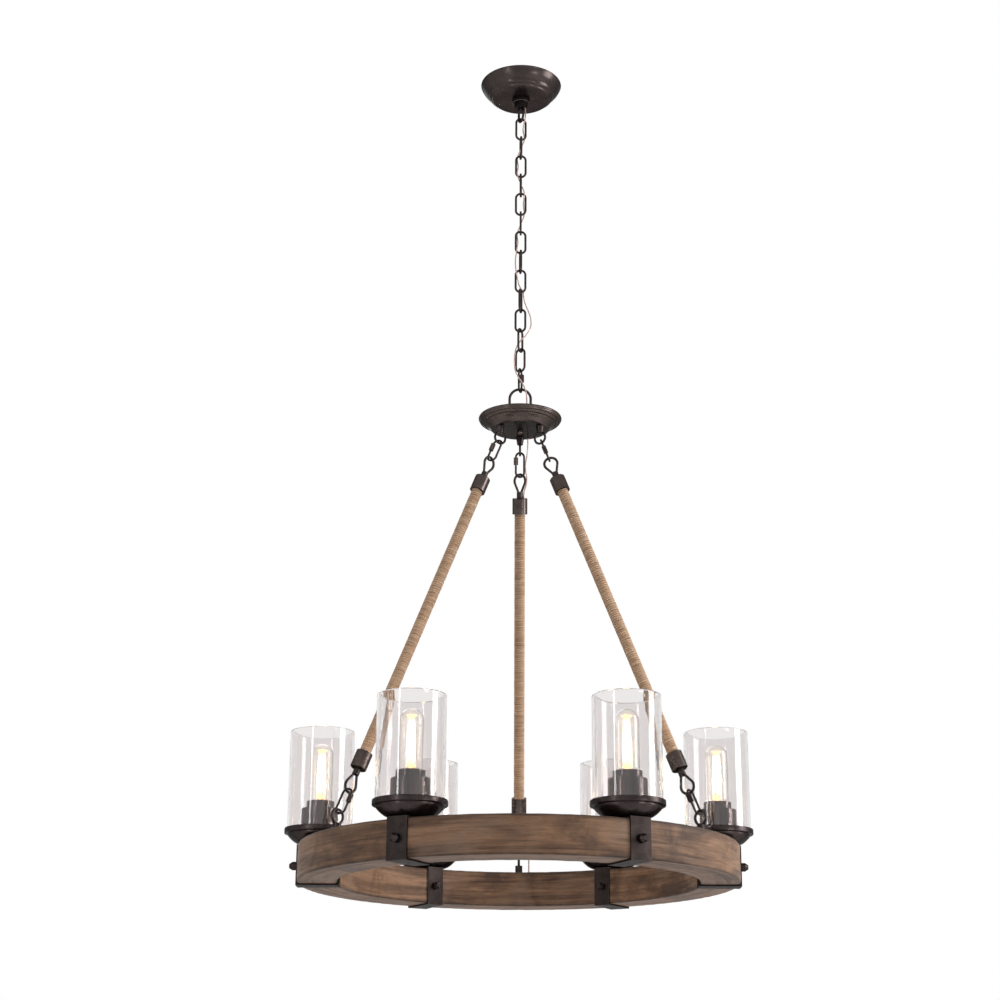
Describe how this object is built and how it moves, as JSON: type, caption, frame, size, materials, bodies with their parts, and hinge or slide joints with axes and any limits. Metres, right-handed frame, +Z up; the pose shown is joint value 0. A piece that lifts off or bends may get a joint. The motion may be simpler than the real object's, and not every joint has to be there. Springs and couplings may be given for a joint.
{
  "type": "wagon wheel chandelier",
  "caption": "Round wooden ring with upright glass lamps, hung by jute covered rods from a round hub, on a chain below a ceiling canopy.",
  "frame": {"origin": "centre of the canopy's rim, on the ceiling", "axes": "+Z up into the ceiling, the object hangs below; -Y is the front as pictured; a lamp stands on the +X side of the ring and a rod on its +Y side"},
  "size_m": [0.663, 0.62, 1.2722],
  "materials": {
    "bronze": "oil rubbed bronze, satin",
    "steel": "zinc plated",
    "jute": "wound jute twine",
    "wood": "weathered walnut, oiled",
    "glass": "clear",
    "ceramic": "glazed",
    "bulb": "clear bulb with glowing filaments",
    "cord": "clear jacket over copper strands"
  },
  "bodies": {
    "ceiling": {"ceiling_crossbar": "steel", "canopy_nipple": "steel", "nipple_locknut": "steel", "collar_loop": "bronze", "lamp_cord": "cord"},
    "canopy": {"canopy": "bronze"},
    "collar_nut": {"collar_nut": "bronze"},
    "chain_link_01": {"chain_link_01": "bronze"},
    "chain_link_02": {"chain_link_02": "bronze"},
    "chain_link_03": {"chain_link_03": "bronze"},
    "chain_link_04": {"chain_link_04": "bronze"},
    "chain_link_05": {"chain_link_05": "bronze"},
    "chain_link_06": {"chain_link_06": "bronze"},
    "chain_link_07": {"chain_link_07": "bronze"},
    "chain_link_08": {"chain_link_08": "bronze"},
    "chain_link_09": {"chain_link_09": "bronze"},
    "chain_link_10": {"chain_link_10": "bronze"},
    "chain_link_11": {"chain_link_11": "bronze"},
    "chain_link_12": {"chain_link_12": "bronze"},
    "chain_link_13": {"chain_link_13": "bronze"},
    "chain_quick_link": {"chain_quick_link": "bronze"},
    "chain_quick_nut": {"chain_quick_nut": "bronze"},
    "hub": {"hub_bail": "bronze", "hub_cover": "bronze", "hub_pan": "bronze", "hub_screw": "bronze", "hub_eyes": "bronze", "hub_nuts": "steel", "upper_quick_links": "bronze", "upper_quick_nuts": "bronze"},
    "ring": {"lower_quick_links": "bronze", "lower_quick_nuts": "bronze", "ring_segments": "wood", "ring_straps": "bronze", "strap_bolts": "bronze", "strap_nuts": "bronze", "ring_eyes": "bronze", "lamp_cups": "bronze", "lamp_nipples": "steel", "lamp_holders": "ceramic", "socket_sleeves": "bronze", "glass_shades": "glass"},
    "rod_left": {"rod_left_tube": "steel", "rod_left_jute": "jute", "rod_left_caps": "bronze", "rod_left_eyes": "bronze"},
    "rod_right": {"rod_right_tube": "steel", "rod_right_jute": "jute", "rod_right_caps": "bronze", "rod_right_eyes": "bronze"},
    "rod_back": {"rod_back_tube": "steel", "rod_back_jute": "jute", "rod_back_caps": "bronze", "rod_back_eyes": "bronze"},
    "bulb_1": {"bulb_1": "bulb"},
    "bulb_2": {"bulb_2": "bulb"},
    "bulb_3": {"bulb_3": "bulb"},
    "bulb_4": {"bulb_4": "bulb"},
    "bulb_5": {"bulb_5": "bulb"},
    "bulb_6": {"bulb_6": "bulb"}
  },
  "joints": [
    {"name": "canopy_lower", "type": "slide", "parent": "ceiling", "child": "canopy", "axis": [0, 0, 1], "range_m": [-0.022, 0]},
    {"name": "collar_nut_turn", "type": "hinge", "parent": "canopy", "child": "collar_nut", "pos_m": [0, 0, -0.0296], "axis": [0, 0, 1], "range_deg": [0, 1440]},
    {"name": "link_01_swing", "type": "hinge", "parent": "ceiling", "child": "chain_link_01", "pos_m": [0, 0, -0.0645], "axis": [-0.4226, 0.9063, 0], "range_deg": [-9, 9], "deforming": ["lamp_cord"]},
    {"name": "link_02_swing", "type": "hinge", "parent": "chain_link_01", "child": "chain_link_02", "pos_m": [0, 0, -0.09725], "axis": [0.9848, 0.1736, 0], "range_deg": [-9, 9]},
    {"name": "link_03_swing", "type": "hinge", "parent": "chain_link_02", "child": "chain_link_03", "pos_m": [0, 0, -0.1303], "axis": [-0.1045, 0.9945, 0], "range_deg": [-9, 9]},
    {"name": "link_04_swing", "type": "hinge", "parent": "chain_link_03", "child": "chain_link_04", "pos_m": [0, 0, -0.16335], "axis": [0.9994, 0.0349, 0], "range_deg": [-9, 9]},
    {"name": "link_05_swing", "type": "hinge", "parent": "chain_link_04", "child": "chain_link_05", "pos_m": [0, 0, -0.1964], "axis": [0.0349, 0.9994, 0], "range_deg": [-9, 9]},
    {"name": "link_06_swing", "type": "hinge", "parent": "chain_link_05", "child": "chain_link_06", "pos_m": [0, 0, -0.22945], "axis": [0.9976, -0.0698, 0], "range_deg": [-9, 9]},
    {"name": "link_07_swing", "type": "hinge", "parent": "chain_link_06", "child": "chain_link_07", "pos_m": [0, 0, -0.2625], "axis": [0, 1, 0], "range_deg": [-9, 9]},
    {"name": "link_08_swing", "type": "hinge", "parent": "chain_link_07", "child": "chain_link_08", "pos_m": [0, 0, -0.29555], "axis": [0.9945, 0.1045, 0], "range_deg": [-9, 9]},
    {"name": "link_09_swing", "type": "hinge", "parent": "chain_link_08", "child": "chain_link_09", "pos_m": [0, 0, -0.3286], "axis": [-0.1219, 0.9925, 0], "range_deg": [-9, 9]},
    {"name": "link_10_swing", "type": "hinge", "parent": "chain_link_09", "child": "chain_link_10", "pos_m": [0, 0, -0.36165], "axis": [0.9976, 0.0698, 0], "range_deg": [-9, 9]},
    {"name": "link_11_swing", "type": "hinge", "parent": "chain_link_10", "child": "chain_link_11", "pos_m": [0, 0, -0.3947], "axis": [0.2079, 0.9781, 0], "range_deg": [-9, 9]},
    {"name": "link_12_swing", "type": "hinge", "parent": "chain_link_11", "child": "chain_link_12", "pos_m": [0, 0, -0.42775], "axis": [0.9903, -0.1392, 0], "range_deg": [-9, 9]},
    {"name": "link_13_swing", "type": "hinge", "parent": "chain_link_12", "child": "chain_link_13", "pos_m": [0, 0, -0.4608], "axis": [0.4067, 0.9135, 0], "range_deg": [-9, 9]},
    {"name": "quick_link_swing", "type": "hinge", "parent": "chain_link_13", "child": "chain_quick_link", "pos_m": [0, 0, -0.49385], "axis": [0.866, -0.5, 0], "range_deg": [-9, 9]},
    {"name": "quick_nut_turn", "type": "hinge", "parent": "chain_quick_link", "child": "chain_quick_nut", "pos_m": [0.00213, 0.00656, -0.5029], "axis": [0, 0, 1], "range_deg": [0, 1800]},
    {"name": "hub_swing", "type": "hinge", "parent": "chain_quick_link", "child": "hub", "pos_m": [0, 0, -0.527], "axis": [0.309, 0.9511, 0], "range_deg": [-9, 9]},
    {"name": "ring_turn", "type": "hinge", "parent": "hub", "child": "ring", "pos_m": [0, 0, -0.9], "axis": [0, 0, 1], "range_deg": [-10, 10]},
    {"name": "rod_left_follow", "type": "hinge", "parent": "hub", "child": "rod_left", "pos_m": [-0.04334, -0.02502, -0.64504], "axis": [-0.0689, -0.0398, 0.9968], "range_deg": [-11, 11]},
    {"name": "rod_right_follow", "type": "hinge", "parent": "hub", "child": "rod_right", "pos_m": [0.04334, -0.02502, -0.64504], "axis": [0.0689, -0.0398, 0.9968], "range_deg": [-11, 11]},
    {"name": "rod_back_follow", "type": "hinge", "parent": "hub", "child": "rod_back", "pos_m": [0, 0.05004, -0.64504], "axis": [0, 0.0795, 0.9968], "range_deg": [-11, 11]},
    {"name": "bulb_1_turn", "type": "hinge", "parent": "ring", "child": "bulb_1", "pos_m": [0.282, 0, -1.158], "axis": [0, 0, 1], "range_deg": [0, 1440]},
    {"name": "bulb_2_turn", "type": "hinge", "parent": "ring", "child": "bulb_2", "pos_m": [0.141, 0.24422, -1.158], "axis": [0, 0, 1], "range_deg": [0, 1440]},
    {"name": "bulb_3_turn", "type": "hinge", "parent": "ring", "child": "bulb_3", "pos_m": [-0.141, 0.24422, -1.158], "axis": [0, 0, 1], "range_deg": [0, 1440]},
    {"name": "bulb_4_turn", "type": "hinge", "parent": "ring", "child": "bulb_4", "pos_m": [-0.282, 0, -1.158], "axis": [0, 0, 1], "range_deg": [0, 1440]},
    {"name": "bulb_5_turn", "type": "hinge", "parent": "ring", "child": "bulb_5", "pos_m": [-0.141, -0.24422, -1.158], "axis": [0, 0, 1], "range_deg": [0, 1440]},
    {"name": "bulb_6_turn", "type": "hinge", "parent": "ring", "child": "bulb_6", "pos_m": [0.141, -0.24422, -1.158], "axis": [0, 0, 1], "range_deg": [0, 1440]}
  ],
  "couplings": [
    {"joint": "rod_left_follow", "follows": "ring_turn", "ratio": 1.0378},
    {"joint": "rod_right_follow", "follows": "ring_turn", "ratio": 1.0378},
    {"joint": "rod_back_follow", "follows": "ring_turn", "ratio": 1.0378}
  ]
}
